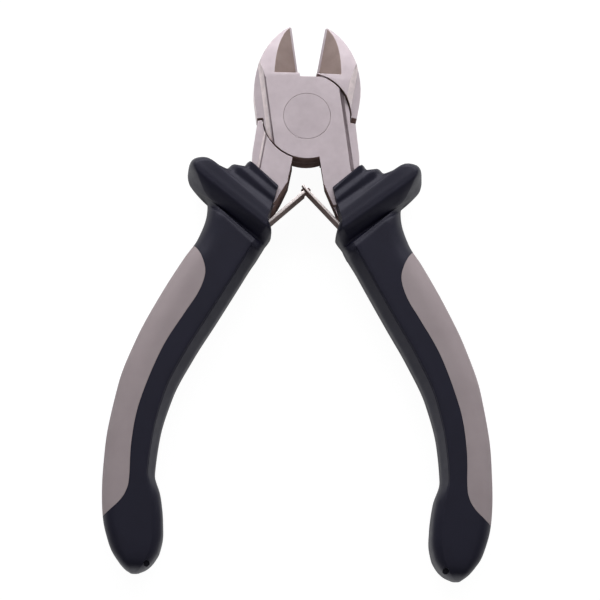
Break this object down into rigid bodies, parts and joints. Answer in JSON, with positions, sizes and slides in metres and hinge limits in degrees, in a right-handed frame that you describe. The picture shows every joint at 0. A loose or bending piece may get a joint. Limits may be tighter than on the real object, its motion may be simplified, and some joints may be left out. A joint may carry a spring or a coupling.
{
  "type": "wire cutter",
  "caption": "Diagonal wire cutter: two lap-jointed steel levers on a flush rivet, bevelled jaws, crossed leaf springs and two-material moulded grips with ribbed guards.",
  "frame": {"origin": "on the pivot axis, in the plane of the joint's flat back face", "axes": "+Y along the tool from the pivot to the jaw tips, +Z out of the front face along the pivot axis, +X to the right seen from the front"},
  "size_m": [0.083, 0.1207, 0.0138],
  "materials": {
    "lever_steel": "satin, warm grey plating",
    "rivet_steel": "ground flush, satin",
    "spring_steel": "bright strip",
    "grip_body": "satin moulded, dark navy",
    "grip_inlay": "soft matte, warm grey"
  },
  "bodies": {
    "front_lever": {"jaw_lever_front": "lever_steel", "pivot_rivet": "rivet_steel", "grip_right": "grip_body", "grip_inlay_right": "grip_inlay"},
    "rear_lever": {"jaw_lever_rear": "lever_steel", "grip_left": "grip_body", "grip_inlay_left": "grip_inlay"},
    "slotted_spring": {"spring_leaf_slotted": "spring_steel"},
    "tongue_spring": {"spring_leaf_tongue": "spring_steel"}
  },
  "joints": [
    {"name": "jaw_pivot", "type": "hinge", "parent": "front_lever", "child": "rear_lever", "pos_m": [0, 0, 0.0045], "axis": [0, 0, 1], "range_deg": [-2.2, 19.4], "stiffness_Nm_per_rad": 1.5},
    {"name": "slotted_spring_flex", "type": "hinge", "parent": "front_lever", "child": "slotted_spring", "pos_m": [0.00886, -0.02462, 0.0045], "axis": [0, 0, 1], "range_deg": [-15.4, 2]},
    {"name": "tongue_spring_flex", "type": "hinge", "parent": "rear_lever", "child": "tongue_spring", "pos_m": [-0.00886, -0.02462, 0.0045], "axis": [0, 0, 1], "range_deg": [-2, 15.4]}
  ],
  "couplings": [
    {"joint": "slotted_spring_flex", "follows": "jaw_pivot", "ratio": -0.78},
    {"joint": "tongue_spring_flex", "follows": "jaw_pivot", "ratio": 0.78}
  ]
}
